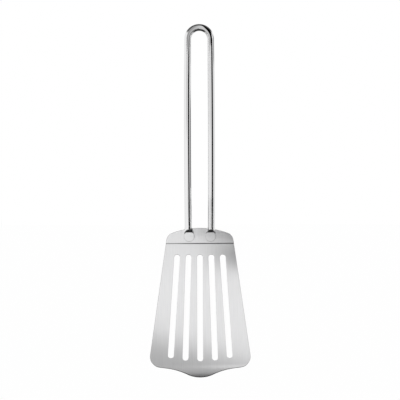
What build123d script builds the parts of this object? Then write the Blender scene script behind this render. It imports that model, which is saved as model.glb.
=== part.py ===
from build123d import *
import math
import os

# A slotted fish spatula: one bent round rod is the handle, and one bent sheet is the blade.
# It stands upright, as it hangs from a hook. The origin is the inside top of the handle's loop,
# on the rod's middle plane, where the hook bears. +Z is up, and the front, which carries the
# food, faces -Y. All lengths are in millimetres and all angles in degrees.

# Rod of the handle. The legs leave the loop a little outwards and bow back in to their feet.
rod_diameter = 6.5
loop_bend_radius = 10.65
leg_splay = 0.5
foot_spacing = 21.1

# Flat pads forged at the rod's two ends
pad_drop = 190.0
pad_spacing = 19.9
pad_diameter = 9.6
pad_thickness = 2.0
pad_standoff = 0.2
pad_rim_radius = 0.35
punch_draft = 20
flare_height = 7.9

# Weld nuggets between the pads and the sheet
weld_diameter = 4.6
weld_depth = 0.6

# Sheet of the blade, and its crease below the pads
sheet = 1.2
blade_tilt = 12
crease_gap = 1.7
groove_radius = 0.45
groove_depth = 0.3

# Outline above the crease: two rounded shoulders and a low crown between them
shoulder_width = 60.75
shoulder_height = 7.85
shoulder_radius = 8.0
crown_rise = 6.5

# Outline below the crease: from each corner a ledge leads in to a valley, and from there a
# flank leads down to the nose. The curves of valley and nose take these shares of the flank.
corner_width = 94.8
corner_reach = 114.3
corner_radius = 10.0
ledge_width = 26.55
valley_drop = 3.45
valley_share = 0.42
nose_drop = 11.05
nose_share = 0.56

# Upward curl of the front edge, up to the nose's point
curl_length = 16.2
curl_radius = 22.0

# Slots, fanned about a centre above the crease. The slots at the sides end a little higher.
slot_width = 5.5
slot_count = 5
fan_height = 313.0
fan_step = 1.85
slot_top_reach = 10.3
slot_foot_margin = 4.1
slot_foot_rise = 0.75

# Every cut runs this far past the face that it leaves.
overrun = 2.0


# Places that follow from the sizes
rod_radius = rod_diameter / 2
pad_radius = pad_diameter / 2
loop_centre = (0, rod_radius - loop_bend_radius)
pad_z = -pad_drop
pad_back = rod_radius + pad_standoff
pad_front = pad_back - pad_thickness
crease_z = pad_z - pad_radius - crease_gap
tilt = math.radians(blade_tilt)
splay = math.radians(leg_splay)
sides = (-1, 1)


def facing_front(y):
    """Plane at depth y that faces -Y, with X to the right and Z up."""
    return Plane.XZ.offset(-y)


def pad_centre(side):
    return (side * pad_spacing / 2, pad_z)


def foot(side):
    return (side * foot_spacing / 2, pad_z)


# Welds: a lens-shaped nugget behind each pad, half in the pad and half in the sheet
lens_radius = (weld_diameter**2 / 4 + weld_depth**2) / (2 * weld_depth)
welds = {}
for side, weld_name in zip(sides, ("left_weld", "right_weld")):
    weld_x, weld_z = pad_centre(side)
    with BuildPart() as weld:
        with BuildSketch(Plane.XY.offset(weld_z)):
            with BuildLine():
                front_tip = (weld_x, pad_back - weld_depth)
                rim = (weld_x + weld_diameter / 2, pad_back)
                back_tip = (weld_x, pad_back + weld_depth)
                RadiusArc(front_tip, rim, -lens_radius)
                RadiusArc(rim, back_tip, -lens_radius)
                Line(back_tip, front_tip)
            make_face()
        revolve(axis=Axis((weld_x, 0, weld_z), (0, 1, 0)))
    weld.part.label = weld_name
    welds[weld_name] = weld.part


# Handle: the rod runs up one leg, over the loop and down the other leg
with BuildPart() as handle:
    with BuildLine(Plane.XZ) as centreline:
        loop = CenterArc(loop_centre, loop_bend_radius, leg_splay, 180 - 2 * leg_splay)
        TangentArc(loop @ 0, foot(1), tangent=(math.sin(splay), -math.cos(splay)))
        TangentArc(loop @ 1, foot(-1), tangent=(-math.sin(splay), -math.cos(splay)))
    rod = centreline.wires()[0]
    with BuildSketch(Plane(origin=rod @ 0, z_dir=rod % 0)):
        Circle(rod_radius)
    sweep(path=rod)

    # Each end is pressed to a flat drop shape, by a round punch with sloping sides.
    for side in sides:
        with BuildSketch(facing_front(pad_back)):
            with Locations(pad_centre(side)):
                Circle(pad_radius)
            with BuildLine():
                foot_x, foot_z = foot(side)
                neck_z = foot_z + flare_height
                Line((foot_x - rod_radius, neck_z), (foot_x + rod_radius, neck_z))
            make_hull()
        extrude(amount=pad_thickness)
        with BuildSketch(facing_front(pad_front)):
            with Locations(pad_centre(side)):
                Circle(pad_radius)
        extrude(amount=rod_diameter + overrun, taper=-punch_draft, mode=Mode.SUBTRACT)
    front_edges = handle.edges().filter_by_position(Axis.Y, pad_front, pad_front)
    pad_rims = front_edges.filter_by(GeomType.CIRCLE).sort_by(Axis.Z)[: len(sides)]
    fillet(pad_rims, pad_rim_radius)

    for nugget in welds.values():
        add(nugget, mode=Mode.SUBTRACT)
handle.part.label = "handle"


# Blade: a sheet folded at the crease and curled at the front edge, then cut to its outline.
# The outline is drawn flat on the slotted part, so heights on the upright part look shorter.
valley_reach = corner_reach + valley_drop
nose_reach = valley_reach + nose_drop
crease = (pad_back, crease_z)
down_sheet = (-math.sin(tilt), -math.cos(tilt))
curl_reach = nose_reach - curl_length
curl_start = tuple(place + curl_reach * way for place, way in zip(crease, down_sheet))
slotted_plane = Plane(
    origin=(0, pad_back, crease_z),
    x_dir=(1, 0, 0),
    z_dir=(0, -math.cos(tilt), math.sin(tilt)),
)
shoulder = (shoulder_width / 2, shoulder_height * math.cos(tilt))
crown = (0, (shoulder_height + crown_rise) * math.cos(tilt))
corner = (corner_width / 2, -corner_reach)
valley = (corner_width / 2 - ledge_width, -valley_reach)
nose = (0, -nose_reach)

# Each curve's radius follows from its share of the flank and from the turn that it takes.
flank = Vector(nose) - Vector(valley)
ledge = Vector(valley) - Vector(corner)
flank_slope = math.asin(nose_drop / flank.length)
valley_turn = flank_slope - math.asin(valley_drop / ledge.length)
nose_radius = nose_share * flank.length / math.tan(flank_slope)
valley_radius = valley_share * flank.length / math.tan(valley_turn / 2)


def mirrored(point):
    return (-point[0], point[1])


def corners_at(sketch, point):
    """The sketch's vertices at a point and at its mirror image."""
    return [sketch.vertices().sort_by_distance(Vector(*at))[0] for at in (point, mirrored(point))]


with BuildPart() as blade:
    with BuildSketch(Plane.YZ):
        with BuildLine():
            Line((pad_back, crease_z + shoulder_height + crown_rise + overrun), crease)
            Line(crease, curl_start)
            JernArc(curl_start, down_sheet, curl_radius, -math.degrees(curl_length / curl_radius))
            offset(amount=sheet, side=Side.LEFT)
        make_face()
    extrude(amount=corner_width / 2, both=True)

    with BuildSketch(slotted_plane) as outline:
        with BuildLine():
            ThreePointArc(mirrored(shoulder), crown, shoulder)
            Polyline(shoulder, corner, valley, nose)
            Polyline(nose, mirrored(valley), mirrored(corner), mirrored(shoulder))
        make_face()
        fillet(corners_at(outline, shoulder), shoulder_radius)
        fillet(corners_at(outline, corner), corner_radius)
        fillet(corners_at(outline, valley), valley_radius)
        fillet(corners_at(outline, nose)[0], nose_radius)

        for place in range(-(slot_count // 2), slot_count // 2 + 1):
            lean = math.tan(math.radians(fan_step * place))
            top = slot_top_reach + slot_width / 2
            foot_end = corner_reach - slot_foot_margin - slot_foot_rise * place**2 - slot_width / 2
            middle = (top + foot_end) / 2
            slot_middle = ((fan_height + middle) * lean, -middle)
            slot_foot = ((fan_height + foot_end) * lean, -foot_end)
            SlotCenterPoint(slot_middle, slot_foot, slot_width, mode=Mode.SUBTRACT)
    extrude(amount=nose_reach, both=True, mode=Mode.INTERSECT)

    # Groove coined along the crease, on the front
    with BuildSketch(Plane.YZ):
        with Locations((pad_back - groove_radius + groove_depth, crease_z)):
            Circle(groove_radius)
    extrude(amount=corner_width / 2, both=True, mode=Mode.SUBTRACT)

    for nugget in welds.values():
        add(nugget, mode=Mode.SUBTRACT)
blade.part.label = "blade"


# One STEP file for each piece
os.makedirs("parts", exist_ok=True)
for piece in (handle.part, blade.part, *welds.values()):
    export_step(piece, f"parts/{piece.label}.step")
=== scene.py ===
import math

import bpy
import numpy as np
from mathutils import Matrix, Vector
from mathutils.geometry import delaunay_2d_cdt


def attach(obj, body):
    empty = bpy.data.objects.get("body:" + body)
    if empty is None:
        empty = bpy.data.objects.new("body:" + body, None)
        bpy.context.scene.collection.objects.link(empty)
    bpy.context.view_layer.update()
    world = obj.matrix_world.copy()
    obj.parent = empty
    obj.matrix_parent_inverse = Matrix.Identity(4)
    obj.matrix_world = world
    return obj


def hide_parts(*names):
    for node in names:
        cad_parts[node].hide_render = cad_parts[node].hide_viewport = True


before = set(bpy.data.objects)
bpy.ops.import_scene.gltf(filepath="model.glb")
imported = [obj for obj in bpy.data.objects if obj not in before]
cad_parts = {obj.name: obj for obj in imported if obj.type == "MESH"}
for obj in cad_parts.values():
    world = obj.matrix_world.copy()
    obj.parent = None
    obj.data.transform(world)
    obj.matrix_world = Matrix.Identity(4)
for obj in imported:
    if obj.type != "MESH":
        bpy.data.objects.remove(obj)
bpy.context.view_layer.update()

# A slotted fish spatula in bent rod and bent sheet. It hangs upright: the origin is the inside
# top of the handle's loop, +Z is up and the front faces -Y. Sizes of the spatula are in
# millimetres, as in the CAD model, and become metres where a mesh is made.
MM = 0.001

# Rod. The loop is drawn a little smaller than in the CAD model, to stay inside that model's box,
# which was measured on facets.
ROD_RADIUS = 3.25
CAD_LOOP_RADIUS = 10.65
LOOP_MARGIN = 0.03
LOOP_RADIUS = CAD_LOOP_RADIUS - LOOP_MARGIN
LOOP_HEIGHT = ROD_RADIUS - CAD_LOOP_RADIUS
LEG_SPLAY = math.radians(0.5)
LEG_TOP = LOOP_HEIGHT + LOOP_RADIUS * math.sin(LEG_SPLAY)
FOOT = (10.55, -190.0)

# Pad forged at each end of the rod, and the seat that a round punch leaves in front of it
PAD = (9.95, -190.0)
PAD_RADIUS = 4.8
PAD_FRONT = 1.45
PAD_BACK = 3.45
PAD_MIDDLE = (PAD_FRONT + PAD_BACK) / 2
PUNCH_DRAFT = math.radians(20)
RAMP_FOOT = 3.8
RAMP_DRAFT = math.radians(31)

# Flare between pad and rod. Each pair is the heights above the pad's centre where a change
# begins and ends.
FLARE_HEIGHT = 7.9
FLARE_FRONT_RISE = 1.2
FLARE_FRONT_SPAN = (1.5, 5.0)
FLARE_BACK_CUT = 1.6
FLARE_BACK_SPAN = (3.0, 9.0)
FLARE_FRONT_MARGIN = 0.05
FLARE_EDGE = 0.4

# Radii of the blends on the forged end
FOOT_BLEND = 0.3
NECK_BLEND = 0.7
RAMP_BLEND = 0.3
PUNCH_BLEND = 0.15

# Sheet of the blade, with its bend and its groove at the crease
SHEET = 1.2
EDGE_RADIUS = 0.2
TILT = math.radians(12)
COS_TILT = math.cos(TILT)
CREASE_GAP = 1.7
CREASE_Y = PAD_BACK
CREASE_Z = PAD[1] - PAD_RADIUS - CREASE_GAP
BEND_HALF = 0.6
GROOVE_RADIUS = 0.45
GROOVE_DEPTH = 0.3
GROOVE_HALF = math.sqrt(GROOVE_RADIUS**2 - (GROOVE_RADIUS - GROOVE_DEPTH) ** 2)
CURL_START = 112.6
CURL_RADIUS = 22.0

# Outline of the blade, drawn on the slotted part: x across, s up from the crease. The corner and
# the nose are drawn in a little, so that the square-cut edge stays inside the CAD model's box.
SHOULDER = (30.375, 7.85 * COS_TILT)
CROWN = 14.35 * COS_TILT
SHOULDER_RADIUS = 8.0
CORNER = (47.39, -114.3)
CORNER_RADIUS = 10.0
VALLEY = (20.85, -117.75)
VALLEY_SHARE = 0.42
NOSE = (0.0, -127.94)
NOSE_SHARE = 0.56

# Slots, fanned about a centre above the crease, with distances down from the crease
SLOT_WIDTH = 5.5
SLOT_TOP = 10.3
SLOT_FOOT = 110.2
SLOT_FOOT_RISE = 0.75
SLOT_PLACES = range(-2, 3)
FAN_HEIGHT = 313.0
FAN_STEP = math.radians(1.85)

# Distances down the sheet that get a row of points. They are closer where the groove is steep.
GROOVE_STEPS = (0.05, 0.14, 0.22, 0.29, 0.35, 0.39, 0.415, 0.43, 0.6, 0.75)
GROOVE_LEVELS = [side * step for side in (-1, 1) for step in GROOVE_STEPS]
CURL_STEP = 0.9
CURL_ROWS = 15
CURL_LEVELS = [CURL_START + CURL_STEP * row for row in range(CURL_ROWS)]
LEVEL_TOLERANCE = 1e-6

# Spacing of the blade's points
CURVE_STEP = 0.45
CROWN_STEP = 1.5
SLOT_END_STEP = 0.3
STRAIGHT_STEP = 4.0
ROW_STEP = 2.5
LEAST_ROW = 1.0
MOST_TURN = 0.09
LEAST_ARC_STEPS = 4
EDGE_STEPS = 4
EDGE_BAND = 0.2
MERGE_DISTANCE = 1e-7
TRIANGLES_INSIDE = 1

# Shade painted in the groove. It is painted lighter towards the left, as a painted reflection of brighter
# light from that side.
GROOVE_SHADE_GAIN = 1.5
GROOVE_SHADE_LEFT_SHARE = 0.45
GROOVE_SHADE_SPAN = (-26, -6)


# Shared helpers
def add_object(name, data):
    made = bpy.data.objects.new(name, data)
    bpy.context.scene.collection.objects.link(made)
    return made


def make_piece(name, verts, faces, normals, uvs, paint):
    """A smooth-shaded mesh piece from millimetre points, with a normal for each vertex."""
    mesh = bpy.data.meshes.new(name)
    mesh.from_pydata([tuple(c * MM for c in v) for v in verts], [], faces)
    mesh.polygons.foreach_set("use_smooth", [True] * len(mesh.polygons))
    layer = mesh.uv_layers.new(name="flat")
    layer.data.foreach_set("uv", [c * MM for face in uvs for point in face for c in point])
    for key, values in paint.items():
        attribute = mesh.attributes.new(key, "FLOAT", "POINT")
        attribute.data.foreach_set("value", values)
    mesh.normals_split_custom_set_from_vertices([tuple(n) for n in normals])
    return add_object(name, mesh)


def ease(value, low, high):
    """0 below low, 1 above high and a smooth step between."""
    f = np.clip((value - low) / (high - low), 0, 1)
    return f * f * (3 - 2 * f)


# The bent sheet: x across, v down along the sheet from the crease, w back from its front face
def sheet_line(v):
    """Place (y, z) and lean of the sheet's front face at v."""
    radius = 2 * BEND_HALF / TILT
    reach = radius * math.tan(TILT / 2)
    if v <= -BEND_HALF:
        return CREASE_Y, CREASE_Z - v, 0.0
    if v < BEND_HALF:
        lean = (v + BEND_HALF) / radius
        y = CREASE_Y - radius * (1 - math.cos(lean))
        return y, CREASE_Z + reach - radius * math.sin(lean), lean
    down = min(v, CURL_START)
    y = CREASE_Y - down * math.sin(TILT)
    z = CREASE_Z - down * math.cos(TILT)
    lean = TILT + max(0.0, v - CURL_START) / CURL_RADIUS
    y += CURL_RADIUS * (math.cos(lean) - math.cos(TILT))
    z -= CURL_RADIUS * (math.sin(lean) - math.sin(TILT))
    return y, z, lean


def groove(v):
    """Depth and slope of the crease's groove."""
    if abs(v) >= GROOVE_HALF:
        return 0.0, 0.0
    height = math.sqrt(GROOVE_RADIUS**2 - v * v)
    return height - (GROOVE_RADIUS - GROOVE_DEPTH), -v / height


def place_on_sheet(x, v, w):
    y, z, lean = sheet_line(v)
    return (x, y + w * math.cos(lean), z - w * math.sin(lean))


def turn_to_sheet(nx, nv, nw, v):
    """A direction from the flat sheet's frame (across, down, back) to the scene's."""
    lean = sheet_line(v)[2]
    y = -nv * math.sin(lean) + nw * math.cos(lean)
    z = -nv * math.cos(lean) - nw * math.sin(lean)
    return Vector((nx, y, z)).normalized()


# Points of plane curves
def unit(a, b):
    """The way from a to b, with length 1."""
    length = math.dist(a, b)
    return ((b[0] - a[0]) / length, (b[1] - a[1]) / length)


def heading(a, b):
    """Angle of the way from a to b."""
    return math.atan2(b[1] - a[1], b[0] - a[0])


def moved(point, way, distance):
    return (point[0] + way[0] * distance, point[1] + way[1] * distance)


def part_way(a, b, share):
    """The point at that share of the way from a to b."""
    return (a[0] + (b[0] - a[0]) * share, a[1] + (b[1] - a[1]) * share)


def arc(centre, radius, start, end, step=CURVE_STEP):
    swept = abs(end - start)
    count = max(LEAST_ARC_STEPS, math.ceil(swept * radius / step), math.ceil(swept / MOST_TURN))
    turns = [start + (end - start) * i / count for i in range(count + 1)]
    return [moved(centre, (math.cos(turn), math.sin(turn)), radius) for turn in turns]


def corner_arc(before, at, after, radius):
    """Points of the arc of that radius which rounds a corner between two straight runs."""
    back, on = unit(at, before), unit(at, after)
    half = math.acos(back[0] * on[0] + back[1] * on[1]) / 2
    reach = radius / math.tan(half)
    middle = unit((0, 0), (back[0] + on[0], back[1] + on[1]))
    centre = moved(at, middle, radius / math.sin(half))
    start = heading(centre, moved(at, back, reach))
    end = heading(centre, moved(at, on, reach))
    while end - start > math.pi:
        end -= 2 * math.pi
    while end - start < -math.pi:
        end += 2 * math.pi
    return arc(centre, radius, start, end)


def run(a, b):
    """Points strictly between a and b."""
    count = max(1, round(math.dist(a, b) / STRAIGHT_STEP))
    return [part_way(a, b, i / count) for i in range(1, count)]


def pairs(loop):
    """Each point of a closed loop with the next one."""
    return zip(loop, loop[1:] + loop[:1])


def area(loop):
    return sum(a[0] * b[1] - b[0] * a[1] for a, b in pairs(loop)) / 2


def outward(loop):
    """Unit normal of each point. It points out of a loop whose area is positive."""
    normals = []
    for before, after in zip(loop[-1:] + loop[:-1], loop[1:] + loop[:1]):
        d = unit(before, after)
        normals.append((d[1], -d[0]))
    return normals


def inside(loop, x, v):
    hit = False
    for a, b in pairs(loop):
        if (a[1] > v) != (b[1] > v) and x < a[0] + (v - a[1]) * (b[0] - a[0]) / (b[1] - a[1]):
            hit = not hit
    return hit


# Outline of the blade
def crown_and_shoulder():
    """Points from the crown's top to the end of the right shoulder's fillet."""
    sagitta = CROWN - SHOULDER[1]
    crown_radius = (SHOULDER[0] ** 2 + sagitta**2) / (2 * sagitta)
    crown_centre = (0.0, CROWN - crown_radius)
    side = unit(SHOULDER, CORNER)
    inward = (side[1], -side[0])
    beside = moved(SHOULDER, inward, SHOULDER_RADIUS)

    # The fillet touches the blade's side and the crown, so its centre is its radius from both.
    x, s = beside[0] - crown_centre[0], beside[1] - crown_centre[1]
    along = x * side[0] + s * side[1]
    gap = x * x + s * s - (crown_radius - SHOULDER_RADIUS) ** 2
    root = math.sqrt(along**2 - gap)
    centre = moved(beside, side, min(-along - root, -along + root, key=abs))
    start = heading(crown_centre, centre)
    end = heading(inward, (0, 0))
    crown = arc(crown_centre, crown_radius, math.pi / 2, start, CROWN_STEP)
    return crown + arc(centre, SHOULDER_RADIUS, start, end)[1:]


def half_outline():
    """Right half of the outline, from the crown down to the nose."""
    flank, ledge = math.dist(VALLEY, NOSE), math.dist(CORNER, VALLEY)
    slope = math.asin((VALLEY[1] - NOSE[1]) / flank)
    valley_turn = slope - math.asin((CORNER[1] - VALLEY[1]) / ledge)
    nose_radius = NOSE_SHARE * flank / math.tan(slope)
    valley_radius = VALLEY_SHARE * flank / math.tan(valley_turn / 2)

    # The nose's arc ends on the middle line.
    nose = corner_arc(VALLEY, NOSE, (-VALLEY[0], VALLEY[1]), nose_radius)
    nose = nose[: (len(nose) + 1) // 2]
    nose[-1] = (0.0, nose[-1][1])

    corner = corner_arc(SHOULDER, CORNER, VALLEY, CORNER_RADIUS)
    valley = corner_arc(CORNER, VALLEY, NOSE, valley_radius)
    points = crown_and_shoulder()
    for stretch in (corner, valley, nose):
        points += run(points[-1], stretch[0]) + stretch
    return points


def to_sheet(point):
    """From the drawing on the slotted part to distances along the sheet."""
    x, s = point
    if s > 0:
        return (x, -s / COS_TILT)
    if -s <= CURL_START:
        return (x, -s)
    return (x, CURL_START + CURL_RADIUS * math.asin((-s - CURL_START) / CURL_RADIUS))


def with_levels(loop, levels):
    """The loop with a point added wherever it crosses one of the levels of v."""
    out = []
    for a, b in pairs(loop):
        out.append(a)
        low, high = sorted((a[1], b[1]))
        cuts = [level for level in levels if low + LEVEL_TOLERANCE < level < high - LEVEL_TOLERANCE]
        for level in sorted(cuts, reverse=a[1] > b[1]):
            f = (level - a[1]) / (b[1] - a[1])
            out.append((a[0] + (b[0] - a[0]) * f, level))
    return out


def slot_loop(place):
    """Outline of one slot: two half circles and the straight runs between them."""
    lean = math.tan(FAN_STEP * place)
    radius = SLOT_WIDTH / 2
    top = SLOT_TOP + radius
    foot = SLOT_FOOT - SLOT_FOOT_RISE * place**2 - radius
    top_centre = ((FAN_HEIGHT + top) * lean, top)
    foot_centre = ((FAN_HEIGHT + foot) * lean, foot)
    way = heading(top_centre, foot_centre)
    upper = arc(top_centre, radius, way + math.pi / 2, way + 3 * math.pi / 2, SLOT_END_STEP)
    lower = arc(foot_centre, radius, way - math.pi / 2, way + math.pi / 2, SLOT_END_STEP)
    return upper + run(upper[-1], lower[0]) + lower + run(lower[-1], upper[0])


def sheet_loops():
    """The outline and the slots, run so that every normal points away from the sheet."""
    right = [to_sheet(p) for p in half_outline()]
    left = [(-x, v) for x, v in reversed(right)]
    outline = with_levels(right + left[1:-1], GROOVE_LEVELS + CURL_LEVELS)
    slots = [slot_loop(place) for place in SLOT_PLACES]
    if area(outline) < 0:
        outline.reverse()
    for slot in slots:
        if area(slot) > 0:
            slot.reverse()
    return [outline] + slots


# Blade
def level_row(level, outline, rim, flat):
    """Edges of a row of points across the sheet at a level, with its points added to flat."""
    crossing = [i for i in rim if abs(outline[i][1] - level) < LEVEL_TOLERANCE]
    if len(crossing) < 2:
        return []
    left = min(crossing, key=lambda i: flat[i][0])
    right = max(crossing, key=lambda i: flat[i][0])
    width = flat[right][0] - flat[left][0]
    if width < LEAST_ROW:
        return []
    count = max(2, round(width / ROW_STEP))
    row = [left]
    for k in range(1, count):
        x, v = part_way(flat[left], flat[right], k / count)
        flat.append((x, v if level in CURL_LEVELS else level))
        row.append(len(flat) - 1)
    row.append(right)
    return list(zip(row, row[1:]))


def flat_sheet(loops, loop_normals):
    """Points and triangles of the flat face inside the edges, and the points along each loop."""
    flat, edges, rims = [], [], []
    for loop, normals in zip(loops, loop_normals):
        first = len(flat)
        flat += [moved(point, normal, -EDGE_RADIUS) for point, normal in zip(loop, normals)]
        rim = list(range(first, len(flat)))
        rims.append(rim)
        edges += list(pairs(rim))
    holes = [[flat[i] for i in rim] for rim in rims[1:]]

    # Rows of points across the groove and the curl, so that the sheet bends there
    for level in GROOVE_LEVELS + CURL_LEVELS[:-1]:
        edges += level_row(level, loops[0], rims[0], flat)

    flat = [Vector(point) for point in flat]
    result = delaunay_2d_cdt(flat, edges, [], TRIANGLES_INSIDE, MERGE_DISTANCE)
    points, _, triangles, source, _, _ = result
    index_of = {old: new for new, olds in enumerate(source) for old in olds}
    kept = []
    for face in triangles:
        x = sum(points[i][0] for i in face) / len(face)
        v = sum(points[i][1] for i in face) / len(face)
        if not any(inside(hole, x, v) for hole in holes):
            kept.append(list(face))
    return points, kept, [[index_of[i] for i in rim] for rim in rims]


class BladeSurface:
    """Points, normals, paint and faces of the blade, laid on the bent sheet."""

    def __init__(self):
        self.verts, self.normals = [], []
        self.cut_edge, self.groove_shade = [], []
        self.faces, self.uvs = [], []

    def add_point(self, x, v, w, normal, cut_edge=0.0, groove_shade=0.0):
        self.verts.append(place_on_sheet(x, v, w))
        self.normals.append(turn_to_sheet(*normal, v))
        self.cut_edge.append(cut_edge)
        self.groove_shade.append(groove_shade)
        return len(self.verts) - 1

    def add_face(self, face, points, facing):
        """A face whose corners run in the order that makes it face the given way."""
        a, b, c = (Vector(self.verts[i]) for i in face[:3])
        if (b - a).cross(c - a).dot(facing) < 0:
            face, points = face[::-1], points[::-1]
        self.faces.append(face)
        self.uvs.append(points)


def add_faces_of_sheet(surface, points, triangles):
    """The front face with its groove and the shade painted in it, and the back face."""
    front, back = [], []
    for x, v in points:
        depth, slope = groove(v)
        # Shade painted in the groove, strongest where it is deepest and lighter towards the left
        share = GROOVE_SHADE_LEFT_SHARE + (1 - GROOVE_SHADE_LEFT_SHARE) * ease(x, *GROOVE_SHADE_SPAN)
        shade_paint = min(1.0, depth / GROOVE_DEPTH * GROOVE_SHADE_GAIN) * float(share)
        front.append(surface.add_point(x, v, depth, (0, slope, -1), groove_shade=shade_paint))
    for x, v in points:
        back.append(surface.add_point(x, v, SHEET, (0, 0, 1)))
    for face in triangles:
        spots = [tuple(points[i]) for i in face]
        for side in (front, back):
            corners = [side[i] for i in face]
            surface.add_face(corners, spots, surface.normals[corners[0]])
    return front, back


def edge_rings(surface, loop, normals, rim, side, is_slot):
    """Rings of points from one face of the sheet round to the middle of its edge."""
    rings = [rim]
    for k in range(1, EDGE_STEPS + 1):
        turn = math.pi / 2 * k / EDGE_STEPS
        inset = EDGE_RADIUS * (1 - math.sin(turn))
        rise = EDGE_RADIUS * (1 - math.cos(turn))
        # Shade painted on the edge: it grows round the slots' edges and is full round the outline
        cut_edge = k / EDGE_STEPS if is_slot else 1.0
        ring = []
        for point, normal in zip(loop, normals):
            w = groove(point[1])[0] + rise if side < 0 else SHEET - rise
            way = (normal[0] * math.sin(turn), normal[1] * math.sin(turn), side * math.cos(turn))
            ring.append(surface.add_point(*moved(point, normal, -inset), w, way, cut_edge))
        rings.append(ring)
    return rings


def add_edge(surface, loop, normals, front_rim, back_rim, is_slot):
    """The rounded and sheared edge that runs along one loop."""
    bands = edge_rings(surface, loop, normals, front_rim, -1, is_slot)
    bands += edge_rings(surface, loop, normals, back_rim, 1, is_slot)[::-1]
    along = [0.0]
    for a, b in pairs(loop):
        along.append(along[-1] + math.dist(a, b))
    for r, (lower, upper) in enumerate(zip(bands, bands[1:])):
        near, far = r * EDGE_BAND, r * EDGE_BAND + EDGE_BAND
        for j in range(len(loop)):
            k = (j + 1) % len(loop)
            face = [lower[j], lower[k], upper[k], upper[j]]
            points = [(near, along[j]), (near, along[j + 1]), (far, along[j + 1]), (far, along[j])]
            facing = surface.normals[lower[j]] + surface.normals[upper[k]]
            surface.add_face(face, points, facing)


def build_blade():
    loops = sheet_loops()
    loop_normals = [outward(loop) for loop in loops]
    points, triangles, rims = flat_sheet(loops, loop_normals)
    surface = BladeSurface()
    front, back = add_faces_of_sheet(surface, points, triangles)
    for loop, normals, rim in zip(loops, loop_normals, rims):
        front_rim, back_rim = [front[i] for i in rim], [back[i] for i in rim]
        add_edge(surface, loop, normals, front_rim, back_rim, loop is not loops[0])
    paint = {"cut_edge": surface.cut_edge, "groove_shade": surface.groove_shade}
    return make_piece("blade_sheet", surface.verts, surface.faces, surface.normals, surface.uvs, paint)


# Rings of points round the handle's rod. They are closer at the flare.
RING = 96
RING_BUNCHING = 0.25
RING_STEPS = ((14.0, 0.8), (8.0, 0.2), (6.9, 0.075), (4.5, 0.25))
PAD_RINGS = 48
PAD_LAST_TURN = math.radians(87.5)
LEG_RINGS = 60
LEG_FOOT = -175.0
LOOP_RINGS = 40
SLOPE_STEP = 0.1

# How the rings change from round to flat. Each pair is heights above the pad's centre.
FLAT_SPAN = (7.5, 12.5)
UNBEND_SPAN = (8.0, 12.0)
SIDE_TOP = 15.0
SIDE_SAMPLES = 400
SIDE_END = 0.9995
SIDE_INSET = 0.5
SIDE_SHARE = 0.92
LEAST_HOLD = 0.3
MOST_AWAY = 0.98
SETTLING_ROUNDS = 6
RAY_REACH = 12.0
RAY_HALVINGS = 40
GRADIENT_STEP = 0.01
LEVEL_RAY = 1e-9

# Satin finish on the pad's seat, as margins on its front face and its radius
SATIN_DEPTH = 0.15
SATIN_REACH = 0.2

# Shade painted near black on the seat's wall, on the pad's rim and down the left flare's inner side. A pair
# is where the painted shade begins and is full, and a reach pair is measured from the pad's radius.
WALL_LEAN = (0.15, 0.4)
WALL_DEPTH = (0.0, 0.15)
WALL_FOOT = 1.0
WALL_REACH = 7.8
RIM_REACH = (-0.3, -0.1)
RIM_TOP = 1.5
RIM_DEPTH = 0.8
RIM_SHADE = 0.5
FLARE_START_SPAN = (0.3, 1.5)
FLARE_END_SPAN = (6.2, 7.8)
FLARE_REACH = (-0.5, -0.3)
FLARE_LEAN = (0.25, 0.6)
FLARE_SHADE = 0.95


# Handle
def smooth_max(a, b, k):
    h = np.clip(0.5 + 0.5 * (a - b) / k, 0, 1)
    return b + (a - b) * h + k * h * (1 - h)


def smooth_min(a, b, k):
    return -smooth_max(-a, -b, k)


def leg_x(z):
    """Middle of the right leg: it splays a little out and bows back in to its foot."""
    start = LOOP_RADIUS * math.cos(LEG_SPLAY)
    down = LEG_TOP - z
    whole = LEG_TOP - FOOT[1]
    bow = (start + math.tan(LEG_SPLAY) * whole - FOOT[0]) / whole**2
    return start + math.tan(LEG_SPLAY) * down - bow * down * down


def drop_shape(px, pz):
    """Distance to the drop-shaped outline round the pad and the neck above it."""
    neck = (FOOT[0] - PAD[0], FLARE_HEIGHT)
    length = math.hypot(*neck)
    across = np.abs((px * neck[1] - pz * neck[0]) / length)
    up = (px * neck[0] + pz * neck[1]) / length
    sine = (PAD_RADIUS - ROD_RADIUS) / length
    cosine = math.sqrt(1 - sine * sine)
    along = cosine * up - sine * across
    neck_circle = np.hypot(across, up - length) - ROD_RADIUS
    pad_circle = np.hypot(across, up) - PAD_RADIUS
    straight = cosine * across + sine * up - PAD_RADIUS
    return np.where(along < 0, pad_circle, np.where(along > cosine * length, neck_circle, straight))


def leg_end(x, y, z):
    """Distance to the surface of the right leg's forged end, less than 0 inside."""
    rod = np.hypot(x - leg_x(z), y) - ROD_RADIUS
    rod = smooth_max(rod, FOOT[1] - z, FOOT_BLEND)

    # Plate that carries the pad, with rounded edges
    px, pz = x - PAD[0], z - PAD[1]
    outline = drop_shape(px, pz) + FLARE_EDGE
    back = PAD_BACK - FLARE_BACK_CUT * ease(pz, *FLARE_BACK_SPAN)
    front = PAD_FRONT - FLARE_FRONT_MARGIN - FLARE_FRONT_RISE * ease(pz, *FLARE_FRONT_SPAN)
    thick = np.maximum(y - back, front - y) + FLARE_EDGE
    plate = np.hypot(np.maximum(outline, 0), np.maximum(thick, 0)) - FLARE_EDGE
    plate += np.minimum(np.maximum(outline, thick), 0)
    body = np.maximum(smooth_min(rod, plate, NECK_BLEND), y - PAD_BACK)

    # Round punch with sloping sides, and the ramp at the top of its seat
    depth = PAD_FRONT - y
    wall = np.hypot(px, pz) - PAD_RADIUS - depth * math.tan(PUNCH_DRAFT)
    ramp = (pz - RAMP_FOOT) * math.cos(RAMP_DRAFT) - depth * math.sin(RAMP_DRAFT)
    sides = smooth_max(wall * math.cos(PUNCH_DRAFT), ramp, RAMP_BLEND)
    punch = smooth_max(sides, -depth, PUNCH_BLEND)
    return smooth_max(body, -punch, PUNCH_BLEND)


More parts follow.
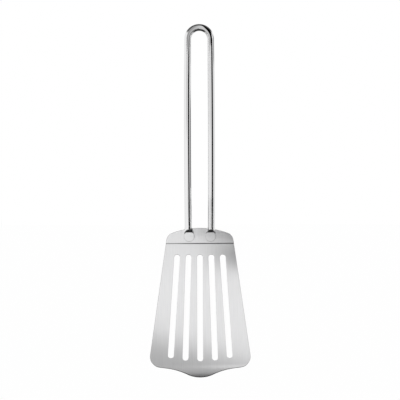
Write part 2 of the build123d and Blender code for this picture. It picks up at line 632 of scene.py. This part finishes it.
def surface_hits(start, way, z):
    """Points where rays that start inside the forged end leave it."""
    low, high = np.zeros(len(z)), np.full(len(z), RAY_REACH)
    for _ in range(RAY_HALVINGS):
        mid = (low + high) / 2
        within = leg_end(start[0] + mid * way[0], start[1] + mid * way[1], z) < 0
        low, high = np.where(within, mid, low), np.where(within, high, mid)
    return start[0] + low * way[0], start[1] + low * way[1]


def surface_normals(x, y, z):
    e = GRADIENT_STEP
    normal = np.stack([
        leg_end(x + e, y, z) - leg_end(x - e, y, z),
        leg_end(x, y + e, z) - leg_end(x, y - e, z),
        leg_end(x, y, z + e) - leg_end(x, y, z - e),
    ], 1)
    return normal / np.linalg.norm(normal, axis=1)[:, None]


def ring_heights():
    """Heights of the rings above the pad's centre, from the rod down to the pad's lowest point."""
    starts = [start for start, _ in RING_STEPS]
    heights = []
    for (start, step), end in zip(RING_STEPS, starts[1:] + [0.0]):
        heights += list(np.arange(start, end, -step))
    return heights + [-PAD_RADIUS * math.sin(a) for a in np.linspace(0, PAD_LAST_TURN, PAD_RINGS)]


def flat_way(turn):
    """Directions of the rays round a flat ring: most point to the front or the back."""
    cosine, sine = np.cos(turn), np.sin(turn)
    swing = np.arccos(np.clip(np.abs(cosine), 0, 1)) / math.acos(SIDE_SHARE)
    swing = np.clip(swing, 0, 1) * math.pi / 2
    way = np.stack([np.sign(cosine) * np.cos(swing), -np.sign(sine) * np.sin(swing)])
    way[1][np.abs(sine) < LEVEL_RAY] = 0
    return way


def forged_end(turn):
    """Rings of points and normals down the right leg's end. They bend round the pad's top."""
    heights = np.linspace(-PAD_RADIUS * SIDE_END, SIDE_TOP, SIDE_SAMPLES) + PAD[1]
    row = np.ones(len(heights))
    middle = (PAD[0] * row, PAD_MIDDLE * row)
    sides = [surface_hits(middle, (way * row, 0 * row), heights)[0] for way in (-1, 1)]

    rings = []
    along = np.clip(np.cos(turn) / SIDE_SHARE, -1, 1)
    round_way = np.stack([np.cos(turn), -np.sin(turn)])
    for h in ring_heights():
        bend = float(ease(h, 0.0, PAD_RADIUS) * (1 - ease(h, *UNBEND_SPAN)))
        flat = 1 - float(ease(h, *FLAT_SPAN))
        curve = max(h, PAD_RADIUS)
        z = np.full(RING, PAD[1] + h)
        for _ in range(SETTLING_ROUNDS):
            left, right = (np.interp(z, heights, side) for side in sides)
            half = (right - left) / 2
            hold = np.maximum(half - SIDE_INSET, LEAST_HOLD * half)
            x = leg_x(z) * (1 - flat) + ((left + right) / 2 + hold * along) * flat
            away = np.minimum(np.abs(x - PAD[0]), curve * MOST_AWAY)
            z = PAD[1] + h - bend * (curve - np.sqrt(curve**2 - away**2)) * flat
        way = round_way * (1 - flat) + flat_way(turn) * flat
        way /= np.hypot(*way)
        x, y = surface_hits((x, np.full(RING, PAD_MIDDLE * flat)), way, z)
        rings.append((np.stack([x, y, z], 1), surface_normals(x, y, z)))
    return rings


def rod_stations():
    """Centre (x, z) and outward direction along the plain rod, from one foot to the other."""
    stations = []
    for z in np.linspace(LEG_FOOT, LEG_TOP, LEG_RINGS)[:-1]:
        slope = (leg_x(z + SLOPE_STEP) - leg_x(z - SLOPE_STEP)) / (2 * SLOPE_STEP)
        size = math.hypot(1, slope)
        stations.append((leg_x(z), z, 1 / size, -slope / size))
    for a in np.linspace(LEG_SPLAY, math.pi / 2, LOOP_RINGS):
        nx, nz = math.cos(a), math.sin(a)
        stations.append((LOOP_RADIUS * nx, LOOP_HEIGHT + LOOP_RADIUS * nz, nx, nz))
    return stations + [(-x, z, -nx, nz) for x, z, nx, nz in stations[-2::-1]]


def paint_handle(verts, normals):
    """How satin each of the handle's points is, and how much shade is painted on it."""
    x, y, z = verts.T
    reach = np.hypot(np.abs(x) - PAD[0], z - PAD[1])
    past_rim = reach - PAD_RADIUS
    height = z - PAD[1]
    satin = ((y > PAD_FRONT - SATIN_DEPTH) & (past_rim < SATIN_REACH)).astype(float)
    # Painted shade: near black on the seat's wall, half on the pad's rim, and down the left flare's inner
    # side
    wall = ease(-normals[:, 2], *WALL_LEAN) * ease(PAD_FRONT - y, *WALL_DEPTH)
    wall = wall * (height > WALL_FOOT) * (reach < WALL_REACH)
    rim = ease(past_rim, *RIM_REACH) * (height < RIM_TOP) * (y < PAD_FRONT + RIM_DEPTH)
    left_inner = (x < 0) * (-x < PAD[0])
    flare = left_inner * ease(height, *FLARE_START_SPAN) * (1 - ease(height, *FLARE_END_SPAN))
    flare = flare * ease(past_rim, *FLARE_REACH) * ease(normals[:, 0], *FLARE_LEAN)
    shade_paint = np.maximum(np.maximum(wall, RIM_SHADE * rim), FLARE_SHADE * flare)
    return {"satin": satin.tolist(), "painted_pad_shade": shade_paint.tolist()}


def handle_sections(turn):
    """Points and normals of each ring, up the right leg, over the loop and down the left leg."""
    right_end = forged_end(turn)
    flip = np.array([-1, 1, 1])
    sections = right_end[::-1]
    for cx, cz, nx, nz in rod_stations():
        normal = np.stack([np.cos(turn) * nx, -np.sin(turn), np.cos(turn) * nz], 1)
        sections.append((np.array([cx, 0, cz]) + ROD_RADIUS * normal, normal))
    return sections + [(ring * flip, normal * flip) for ring, normal in right_end]


def tube_faces(rings, around):
    """Faces between the rings, and their places around and along the unrolled tube."""
    faces, uvs = [], []
    length = 0.0
    for i in range(len(rings) - 1):
        gap = float(np.linalg.norm(rings[i + 1].mean(0) - rings[i].mean(0)))
        near, far = i * RING, (i + 1) * RING
        for j in range(RING):
            k = (j + 1) % RING
            u0, u1 = around[j], around[j + 1]
            faces.append([near + j, far + j, far + k, near + k])
            uvs.append([(u0, length), (u0, length + gap), (u1, length + gap), (u1, length)])
        length += gap
    return faces, uvs


def build_handle():
    turn = np.arange(RING) / RING * 2 * math.pi
    turn = turn - RING_BUNCHING * np.sin(2 * turn)
    sections = handle_sections(turn)
    rings = [ring for ring, _ in sections]
    verts = np.concatenate(rings)
    normals = np.concatenate([normal for _, normal in sections])

    around = [angle * ROD_RADIUS for angle in turn] + [2 * math.pi * ROD_RADIUS]
    faces, uvs = tube_faces(rings, around)
    first = list(range(RING))
    last = [(len(rings) - 1) * RING + j for j in first]
    for cap in (first, last[::-1]):
        faces.append(cap)
        uvs.append([(verts[i][0], verts[i][1]) for i in cap])
    paint = paint_handle(verts, normals)
    return make_piece("handle_rod", verts.tolist(), faces, normals, uvs, paint)


# Node trees. A mix node has its sockets for numbers and for colours at these places.
NUMBER_A, NUMBER_B, NUMBER_OUT = 2, 3, 0
COLOUR_A, COLOUR_B, COLOUR_OUT = 6, 7, 2

# Most of a noise lies between these.
NOISE_LOW, NOISE_HIGH = 0.3, 0.7


def grey(level):
    return (level, level, level, 1)


def add_node(tree, kind, inputs=None, **settings):
    """A node with its settings made, and with its inputs linked or set."""
    node = tree.nodes.new("ShaderNode" + kind)
    for key, value in settings.items():
        setattr(node, key, value)
    for socket, value in (inputs or {}).items():
        if isinstance(value, bpy.types.NodeSocket):
            tree.links.new(value, node.inputs[socket])
        else:
            node.inputs[socket].default_value = value
    return node


def new_material(name):
    made = bpy.data.materials.new(name)
    made.use_nodes = True
    made.node_tree.nodes.clear()
    return made, made.node_tree


def noise(tree, coords, grain, detail, roughness=0.5):
    """Noise whose grain is how many features a metre holds along each axis."""
    mapping = add_node(tree, "Mapping", {"Vector": coords, "Scale": grain})
    inputs = {"Vector": mapping.outputs["Vector"], "Scale": 1.0, "Detail": detail, "Roughness": roughness}
    return add_node(tree, "TexNoise", inputs).outputs["Fac"]


def ranged(tree, source, low, high, from_low=NOISE_LOW, from_high=NOISE_HIGH):
    inputs = {"Value": source, "From Min": from_low, "From Max": from_high, "To Min": low, "To Max": high}
    return add_node(tree, "MapRange", inputs).outputs["Result"]


def painted(tree, attribute):
    return add_node(tree, "Attribute", attribute_name=attribute).outputs["Fac"]


def mixed(tree, factor, a, b):
    node = add_node(tree, "Mix", {"Factor": factor, NUMBER_A: a, NUMBER_B: b})
    return node.outputs[NUMBER_OUT]


def mixed_colour(tree, factor, a, b):
    node = add_node(tree, "Mix", {"Factor": factor, COLOUR_A: a, COLOUR_B: b}, data_type="RGBA")
    return node.outputs[COLOUR_OUT]


def bumped(tree, height, strength, distance):
    return add_node(tree, "Bump", {"Height": height, "Strength": strength, "Distance": distance}).outputs[0]


def steel(tree, colour, roughness, normal):
    """A metal surface as the material's output."""
    inputs = {"Base Color": colour, "Roughness": roughness, "Normal": normal, "Metallic": 1.0}
    surface = add_node(tree, "BsdfPrincipled", inputs)
    add_node(tree, "OutputMaterial", {"Surface": surface.outputs[0]})
    return surface


# Finishes. A grain is how many features a metre holds along each axis, and a relief is how high
# the bumps are, in metres.
# Painted shade: near black on the pads' seats, rims and left flare and on the blade's edges, and grey in
# the crease's groove
PAINTED_SHADE_BLACK = grey(0.03)
GROOVE_SHADE_GREY = grey(0.16)

ROD_COLOUR = (0.83, 0.83, 0.835, 1)
WIPE_GRAIN = (900, 900, 120)
WIPE_ROUGHNESS = (0.045, 0.085)
SATIN_GRAIN = (6000, 6000, 250)
SATIN_ROUGHNESS = (0.27, 0.36)
POLISHED_TO_SATIN_BUMP = (0.04, 0.35)
ROD_RELIEF = 0.00001

SHEET_COLOURS = (0.825, 0.825, 0.83, 1), (0.875, 0.875, 0.88, 1)
CLOUD_GRAIN = (1400, 40, 1)
BRUSH_GRAIN = (7000, 160, 1)
BRUSH_DETAIL_ROUGHNESS = 0.6
BRUSH_ROUGHNESS = (0.29, 0.39)
BRUSH_BUMP = 0.35
BRUSH_RELIEF = 0.00002
BRUSH_ANISOTROPY = 0.35
SHEARED_ROUGHNESS = 0.16

WELD_COLOURS = (0.50, 0.48, 0.45, 1), (0.62, 0.61, 0.60, 1)
WELD_GRAIN = (2500, 2500, 2500)
WELD_ROUGHNESS = (0.35, 0.55)
WELD_BUMP = 0.4
WELD_RELIEF = 0.00005


def polished_steel():
    """Polished rod with fine wipe marks that run up and down. The pads' seats are satin, with shade painted
    round them.
    """
    made, tree = new_material("polished_steel")
    coords = add_node(tree, "TexCoord").outputs["Object"]
    satin = painted(tree, "satin")
    wipe = noise(tree, coords, WIPE_GRAIN, detail=3)
    scratches = noise(tree, coords, SATIN_GRAIN, detail=2)
    polished = ranged(tree, wipe, *WIPE_ROUGHNESS)
    roughness = mixed(tree, satin, polished, ranged(tree, scratches, *SATIN_ROUGHNESS))
    # Shade painted near black on the seats' walls, the pads' rims and the left flare
    colour = mixed_colour(tree, painted(tree, "painted_pad_shade"), ROD_COLOUR, PAINTED_SHADE_BLACK)
    strength = ranged(tree, satin, *POLISHED_TO_SATIN_BUMP, from_low=0, from_high=1)
    steel(tree, colour, roughness, bumped(tree, scratches, strength, ROD_RELIEF))
    return made


def brushed_steel():
    """Sheet brushed down its length, with smoother sheared edges, and shade painted on the edges and in the
    groove.
    """
    made, tree = new_material("brushed_steel")
    coords = add_node(tree, "TexCoord").outputs["UV"]
    cut_edge = painted(tree, "cut_edge")
    brush = noise(tree, coords, BRUSH_GRAIN, detail=3, roughness=BRUSH_DETAIL_ROUGHNESS)
    cloud = noise(tree, coords, CLOUD_GRAIN, detail=2)
    roughness = mixed(tree, cut_edge, ranged(tree, brush, *BRUSH_ROUGHNESS), SHEARED_ROUGHNESS)
    bare = mixed_colour(tree, ranged(tree, cloud, 0, 1), *SHEET_COLOURS)
    # Shade painted near black on the edges
    sheared = mixed_colour(tree, cut_edge, bare, PAINTED_SHADE_BLACK)
    # Shade painted grey in the crease's groove
    colour = mixed_colour(tree, painted(tree, "groove_shade"), sheared, GROOVE_SHADE_GREY)
    surface = steel(tree, colour, roughness, bumped(tree, brush, BRUSH_BUMP, BRUSH_RELIEF))
    surface.inputs["Anisotropic"].default_value = BRUSH_ANISOTROPY
    tangent = add_node(tree, "Tangent", direction_type="UV_MAP", uv_map="flat")
    tree.links.new(tangent.outputs[0], surface.inputs["Tangent"])
    return made


def weld_steel():
    """Matt and slightly tinted metal of the weld nuggets."""
    made, tree = new_material("weld_steel")
    coords = add_node(tree, "TexCoord").outputs["Object"]
    crust = noise(tree, coords, WELD_GRAIN, detail=4)
    colour = mixed_colour(tree, ranged(tree, crust, 0, 1), *WELD_COLOURS)
    roughness = ranged(tree, crust, *WELD_ROUGHNESS)
    steel(tree, colour, roughness, bumped(tree, crust, WELD_BUMP, WELD_RELIEF))
    return made


# Pieces
handle = build_handle()
handle.data.materials.append(polished_steel())
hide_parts("handle")
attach(handle, "root")

blade = build_blade()
blade.data.materials.append(brushed_steel())
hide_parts("blade")
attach(blade, "root")

weld = weld_steel()
for name in ("left_weld", "right_weld"):
    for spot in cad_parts[name].material_slots:
        spot.material = weld

# Studio, in metres. Each way to face is a card's directions across and up.
X, Y, Z = (1, 0, 0), (0, 1, 0), (0, 0, 1)
FACING_FRONT = X, Z
FACING_RIGHT = Y, Z
FACING_LEFT = (0, -1, 0), Z
LEVEL = X, Y
SHEARED_FRONT = (1, 0, -0.30), Z

WORLD_STRENGTH = 0.75
FLOOR_HEIGHT = -0.45
FLOOR_SIZE = (60, 60)
FLOOR_WHITE = 0.99
KEY_STRENGTH = 0.95
KEY_ANGLE = math.radians(50)
KEY_TURN = (math.radians(28), math.radians(-18), 0)
FOCAL_LENGTH = 243.35
SENSOR_WIDTH = 36
CAMERA_PLACE = (0.00023, -2.5, -0.15626)
CAMERA_TURN = (math.pi / 2, math.radians(0.2), 0)


def plane(name, centre, facing, size):
    """A rectangle with its own coordinates from 0 to 1 across and up."""
    across, up = (Vector(way).normalized() * length for way, length in zip(facing, size))
    shares = ((-0.5, -0.5), (0.5, -0.5), (0.5, 0.5), (-0.5, 0.5))
    mesh = bpy.data.meshes.new(name)
    mesh.from_pydata([Vector(centre) + across * i + up * j for i, j in shares], [], [(0, 1, 2, 3)])
    layer = mesh.uv_layers.new(name="card")
    layer.data.foreach_set("uv", [0, 0, 1, 0, 1, 1, 0, 1])
    piece = add_object(name, mesh)
    return piece


def calculated(tree, operation, a, b, clamp=False):
    node = add_node(tree, "Math", {0: a, 1: b}, operation=operation, use_clamp=clamp)
    return node.outputs[0]


def card(name, centre, facing, size, level, soft, opacity=1.0, one_sided=False):
    """A grey card that only reflections show.

    Its edges fade over the soft shares of its width and height. With less opacity it is a veil,
    and if it is one-sided it is clear from behind.
    """
    piece = plane(name, centre, facing, size)
    for ray in ("camera", "diffuse", "transmission", "volume_scatter", "shadow"):
        setattr(piece, "visible_" + ray, False)
    made, tree = new_material(name)
    made.cycles.emission_sampling = "NONE"
    coords = add_node(tree, "TexCoord").outputs["UV"]
    place = add_node(tree, "SeparateXYZ", {0: coords})
    fades = []
    for axis, edge in enumerate(soft):
        from_edge = calculated(tree, "PINGPONG", place.outputs[axis], 0.5)
        inputs = {"Value": from_edge, "From Min": 0.0, "From Max": edge}
        fades.append(add_node(tree, "MapRange", inputs, interpolation_type="SMOOTHSTEP").outputs[0])
    cover = calculated(tree, "MULTIPLY", *fades)
    cover = calculated(tree, "MULTIPLY", cover, opacity)
    if one_sided:
        behind = add_node(tree, "NewGeometry").outputs["Backfacing"]
        cover = calculated(tree, "SUBTRACT", cover, behind, clamp=True)
    clear = add_node(tree, "BsdfTransparent")
    glow = add_node(tree, "Emission", {"Color": grey(level)})
    mix = add_node(tree, "MixShader", {0: cover, 1: clear.outputs[0], 2: glow.outputs[0]})
    add_node(tree, "OutputMaterial", {"Surface": mix.outputs[0]})
    piece.data.materials.append(made)


def white_world():
    """Full white where it is seen or reflected, and a little less as light on the floor."""
    world = bpy.data.worlds.new("studio")
    bpy.context.scene.world = world
    world.use_nodes = True
    world.cycles.sampling_method = "NONE"
    tree = world.node_tree
    tree.nodes.clear()
    path = add_node(tree, "LightPath")
    seen = path.outputs["Is Camera Ray"]
    for ray in ("Is Glossy Ray", "Is Transmission Ray"):
        seen = calculated(tree, "MAXIMUM", seen, path.outputs[ray])
    strength = add_node(tree, "MapRange", {"Value": seen, "To Min": WORLD_STRENGTH, "To Max": 1.0})
    sky = add_node(tree, "Background", {"Color": grey(1), "Strength": strength.outputs[0]})
    add_node(tree, "OutputWorld", {0: sky.outputs[0]})


def white_floor():
    floor = plane("floor", (0, 0, FLOOR_HEIGHT), LEVEL, FLOOR_SIZE)
    made, tree = new_material("floor_white")
    surface = add_node(tree, "BsdfDiffuse", {"Color": grey(FLOOR_WHITE)})
    add_node(tree, "OutputMaterial", {"Surface": surface.outputs[0]})
    floor.data.materials.append(made)


def key_light():
    """A wide sun that casts the shadows and isn't reflected."""
    sun = bpy.data.lights.new("key", "SUN")
    sun.energy = KEY_STRENGTH
    sun.angle = KEY_ANGLE
    lamp = add_object("key", sun)
    lamp.rotation_euler = KEY_TURN
    lamp.visible_glossy = False


bpy.context.scene.view_settings.view_transform = "Standard"
white_world()
white_floor()
key_light()

# Dark band down both legs, which is wider near their feet, and the softer shades beside it
card("strip", (1.79, -2.0, 0.015), FACING_FRONT, (2.90, 0.57), 0.0, (0.06, 0.12))
card("strip_foot", (0.42, -2.0, -0.195), FACING_FRONT, (0.50, 0.11), 0.0, (0.03, 0.25))
card("dusk", (0.060, -0.055, -0.085), FACING_FRONT, (0.24, 0.19), 0.0, (0.5, 0.15), 0.38)
card("upper_dusk", (-0.052, -0.056, -0.052), FACING_FRONT, (0.11, 0.11), 0.0, (0.4, 0.3), 0.24)
card("right_side", (0.30, 0.02, -0.08), FACING_RIGHT, (0.30, 0.30), 0.0, (0.3, 0.2), 0.22)

# Shades on the blade: its right upper corner, the plate at the pads, the lower left and the nose
card("right_corner", (0.053, -0.035, -0.191), FACING_FRONT, (0.126, 0.048), 0.0, (0.5, 0.5), 0.86)
card("foot_veil", (0.030, -0.0106, -0.1725), FACING_FRONT, (0.084, 0.041), 0.0, (0.15, 0.15), 0.2)
card("low_left", (0.0, -0.080, -0.303), SHEARED_FRONT, (0.26, 0.09), 0.48, (0.05, 0.25))
card("nose_fill", (-0.020, -0.046, -0.2955), FACING_FRONT, (0.09, 0.022), 0.45, (0.5, 0.35), 0.65)

# Dark lines along the inner sides of the legs
card(
    "between", (0.0, 0.0005, -0.1205), FACING_LEFT, (0.0076, 0.151), 0.0, (0.15, 0.22),
    one_sided=True,
)
card(
    "between_foot", (0.0, 0.0005, -0.170), FACING_RIGHT, (0.0076, 0.050), 0.0, (0.15, 0.4),
    opacity=0.4, one_sided=True,
)
card("behind", (0.0, 0.012, -0.168), FACING_RIGHT, (0.010, 0.026), 0.0, (0.2, 0.4), 0.8)

# Bands round the loop
card("loop_strip_low", (0.018, -0.018, 0.0), FACING_FRONT, (0.023, 0.030), 0.0, (0.1, 0.2))
card("loop_strip_high", (0.045, -0.0181, 0.155), FACING_FRONT, (0.076, 0.30), 0.0, (0.04, 0.02))
card(
    "loop_inner", (0.0, -0.017, -0.0225), FACING_LEFT, (0.024, 0.042), 0.12, (0.2, 0.2),
    one_sided=True,
)
card("loop_side", (0.050, 0.012, -0.010), FACING_RIGHT, (0.050, 0.050), 0.2, (0.3, 0.3), 0.8)
card("loop_right", (-0.005, -0.020, 0.012), FACING_FRONT, (0.042, 0.075), 0.72, (0.2, 0.25))
card("loop_left", (-0.014, -0.019, 0.012), FACING_FRONT, (0.036, 0.075), 0.36, (0.45, 0.25))
card("loop_under", (0.0, -0.001, -0.014), LEVEL, (0.0138, 0.034), 0.03, (0.12, 0.2), one_sided=True)

# The studio round the spatula, as its upward and downward faces and its back reflect it
card("ceiling", (0, 0.08, 0.20), LEVEL, (0.8, 0.66), 0.10, (0.2, 0.2))
card("ceiling_front", (0, -0.36, 0.21), LEVEL, (0.8, 0.72), 0.42, (0.2, 0.22))
card("ground", (0, 0, -0.42), LEVEL, (2.6, 2.6), 0.03, (0.45, 0.45), 0.55)
card("back_strip_left", (-0.60, 1.0, -0.19), FACING_FRONT, (0.60, 0.50), 0.03, (0.2, 0.1), 0.5)
card("back_strip_right", (0.45, 1.0, -0.19), FACING_FRONT, (0.35, 0.50), 0.03, (0.2, 0.1), 0.5)

# Camera
lens = bpy.data.cameras.new("camera")
lens.lens = FOCAL_LENGTH
lens.sensor_width = SENSOR_WIDTH
camera = add_object("camera", lens)
camera.location = CAMERA_PLACE
camera.rotation_euler = CAMERA_TURN
bpy.context.scene.camera = camera
